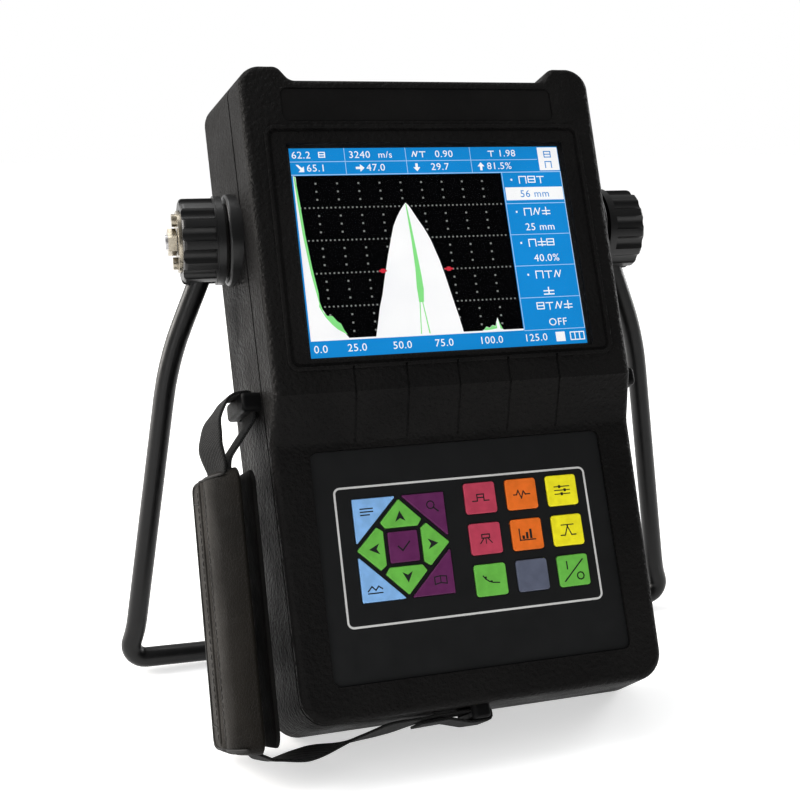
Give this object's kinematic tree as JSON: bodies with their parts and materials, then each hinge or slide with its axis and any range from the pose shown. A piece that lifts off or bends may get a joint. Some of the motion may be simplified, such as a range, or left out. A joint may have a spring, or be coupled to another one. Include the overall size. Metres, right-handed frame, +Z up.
{
  "type": "ultrasonic flaw detector",
  "caption": "Hand-held flaw detector: black case with colour display, coloured keypad, two probe sockets, side hand strap, and a swinging wire bail that is both handle and stand.",
  "frame": {"origin": "middle of the line where the lower rear edge of the case rests on the table, on the centre plane of the case", "axes": "+X to the right of someone reading the display, +Y away from them, +Z up; the case leans back 26.2 degrees on its bail"},
  "size_m": [0.2681, 0.1596, 0.2602],
  "materials": {
    "case_black": "fine leather grain, matt",
    "panel_black": "smooth matt overlay",
    "window_clear": "clear polished",
    "lcd_blue": "lit display",
    "steel_plain": "zinc plated",
    "board_green": "lacquered board",
    "key_blue": "satin",
    "key_purple": "satin",
    "key_green": "satin",
    "key_crimson": "satin",
    "key_orange": "satin",
    "key_yellow": "satin",
    "key_slate": "satin",
    "rubber_black": "moulded",
    "battery_blue": "shrink sleeve",
    "nickel": "dull nickel",
    "rod_black": "satin black coat",
    "fibre": "pressed fibre",
    "lug_black": "satin black coat",
    "webbing": "woven strap",
    "pad_leather": "stitched, grained"
  },
  "bodies": {
    "case": {"front_cover": "case_black", "rear_cover": "case_black", "case_seal": "rubber_black", "display_window": "window_clear", "lcd_module": "lcd_blue", "lcd_bracket": "steel_plain", "bracket_screws": "steel_plain", "board_spacers": "nickel", "main_board": "board_green", "keypad_panel": "panel_black", "keypad_mat": "rubber_black", "keypad_board": "board_green", "key_switches": "steel_plain", "board_screws": "steel_plain", "battery_pack": "battery_blue", "battery_door": "case_black", "door_screws": "steel_plain", "case_screws": "steel_plain", "probe_socket_left": "nickel", "probe_socket_right": "nickel", "power_socket": "nickel", "data_socket": "nickel", "pivot_collar_left": "case_black", "pivot_collar_right": "case_black", "pivot_bolts": "steel_plain", "pivot_nuts": "steel_plain", "friction_washers": "fibre", "strap_lug_left": "lug_black", "strap_lug_right": "lug_black", "strap_lug_bottom": "lug_black", "hand_pad": "pad_leather", "pad_liner": "pad_leather", "strap_loop": "webbing", "strap_tail": "webbing"},
    "bail": {"bail_hub_left": "case_black", "bail_hub_right": "case_black", "bail_rod": "rod_black", "hub_plates": "nickel", "hub_screws": "steel_plain"},
    "key_corner_tl_press": {"key_corner_tl": "key_blue"},
    "key_corner_bl_press": {"key_corner_bl": "key_blue"},
    "key_corner_tr_press": {"key_corner_tr": "key_purple"},
    "key_corner_br_press": {"key_corner_br": "key_purple"},
    "key_enter_press": {"key_enter": "key_purple"},
    "key_up_press": {"key_up": "key_green"},
    "key_down_press": {"key_down": "key_green"},
    "key_left_press": {"key_left": "key_green"},
    "key_right_press": {"key_right": "key_green"},
    "key_r1c1_press": {"key_r1c1": "key_crimson"},
    "key_r1c2_press": {"key_r1c2": "key_orange"},
    "key_r1c3_press": {"key_r1c3": "key_yellow"},
    "key_r2c1_press": {"key_r2c1": "key_crimson"},
    "key_r2c2_press": {"key_r2c2": "key_orange"},
    "key_r2c3_press": {"key_r2c3": "key_yellow"},
    "key_r3c1_press": {"key_r3c1": "key_green"},
    "key_r3c2_press": {"key_r3c2": "key_slate"},
    "key_r3c3_press": {"key_r3c3": "key_green"}
  },
  "joints": [
    {"name": "bail_swing", "type": "hinge", "parent": "case", "child": "bail", "pos_m": [0, 0.06776, 0.191], "axis": [1, 0, 0], "range_deg": [-12, 316]},
    {"name": "key_corner_tl_travel", "type": "slide", "parent": "case", "child": "key_corner_tl_press", "axis": [0, 0.8973, -0.4415], "range_m": [0, 0.0008], "stiffness_N_per_m": 1500, "springref_m": -0.0004},
    {"name": "key_corner_bl_travel", "type": "slide", "parent": "case", "child": "key_corner_bl_press", "axis": [0, 0.8973, -0.4415], "range_m": [0, 0.0008], "stiffness_N_per_m": 1500, "springref_m": -0.0004},
    {"name": "key_corner_tr_travel", "type": "slide", "parent": "case", "child": "key_corner_tr_press", "axis": [0, 0.8973, -0.4415], "range_m": [0, 0.0008], "stiffness_N_per_m": 1500, "springref_m": -0.0004},
    {"name": "key_corner_br_travel", "type": "slide", "parent": "case", "child": "key_corner_br_press", "axis": [0, 0.8973, -0.4415], "range_m": [0, 0.0008], "stiffness_N_per_m": 1500, "springref_m": -0.0004},
    {"name": "key_enter_travel", "type": "slide", "parent": "case", "child": "key_enter_press", "axis": [0, 0.8973, -0.4415], "range_m": [0, 0.0008], "stiffness_N_per_m": 1500, "springref_m": -0.0004},
    {"name": "key_up_travel", "type": "slide", "parent": "case", "child": "key_up_press", "axis": [0, 0.8973, -0.4415], "range_m": [0, 0.0008], "stiffness_N_per_m": 1500, "springref_m": -0.0004},
    {"name": "key_down_travel", "type": "slide", "parent": "case", "child": "key_down_press", "axis": [0, 0.8973, -0.4415], "range_m": [0, 0.0008], "stiffness_N_per_m": 1500, "springref_m": -0.0004},
    {"name": "key_left_travel", "type": "slide", "parent": "case", "child": "key_left_press", "axis": [0, 0.8973, -0.4415], "range_m": [0, 0.0008], "stiffness_N_per_m": 1500, "springref_m": -0.0004},
    {"name": "key_right_travel", "type": "slide", "parent": "case", "child": "key_right_press", "axis": [0, 0.8973, -0.4415], "range_m": [0, 0.0008], "stiffness_N_per_m": 1500, "springref_m": -0.0004},
    {"name": "key_r1c1_travel", "type": "slide", "parent": "case", "child": "key_r1c1_press", "axis": [0, 0.8973, -0.4415], "range_m": [0, 0.0008], "stiffness_N_per_m": 1500, "springref_m": -0.0004},
    {"name": "key_r1c2_travel", "type": "slide", "parent": "case", "child": "key_r1c2_press", "axis": [0, 0.8973, -0.4415], "range_m": [0, 0.0008], "stiffness_N_per_m": 1500, "springref_m": -0.0004},
    {"name": "key_r1c3_travel", "type": "slide", "parent": "case", "child": "key_r1c3_press", "axis": [0, 0.8973, -0.4415], "range_m": [0, 0.0008], "stiffness_N_per_m": 1500, "springref_m": -0.0004},
    {"name": "key_r2c1_travel", "type": "slide", "parent": "case", "child": "key_r2c1_press", "axis": [0, 0.8973, -0.4415], "range_m": [0, 0.0008], "stiffness_N_per_m": 1500, "springref_m": -0.0004},
    {"name": "key_r2c2_travel", "type": "slide", "parent": "case", "child": "key_r2c2_press", "axis": [0, 0.8973, -0.4415], "range_m": [0, 0.0008], "stiffness_N_per_m": 1500, "springref_m": -0.0004},
    {"name": "key_r2c3_travel", "type": "slide", "parent": "case", "child": "key_r2c3_press", "axis": [0, 0.8973, -0.4415], "range_m": [0, 0.0008], "stiffness_N_per_m": 1500, "springref_m": -0.0004},
    {"name": "key_r3c1_travel", "type": "slide", "parent": "case", "child": "key_r3c1_press", "axis": [0, 0.8973, -0.4415], "range_m": [0, 0.0008], "stiffness_N_per_m": 1500, "springref_m": -0.0004},
    {"name": "key_r3c2_travel", "type": "slide", "parent": "case", "child": "key_r3c2_press", "axis": [0, 0.8973, -0.4415], "range_m": [0, 0.0008], "stiffness_N_per_m": 1500, "springref_m": -0.0004},
    {"name": "key_r3c3_travel", "type": "slide", "parent": "case", "child": "key_r3c3_press", "axis": [0, 0.8973, -0.4415], "range_m": [0, 0.0008], "stiffness_N_per_m": 1500, "springref_m": -0.0004}
  ]
}
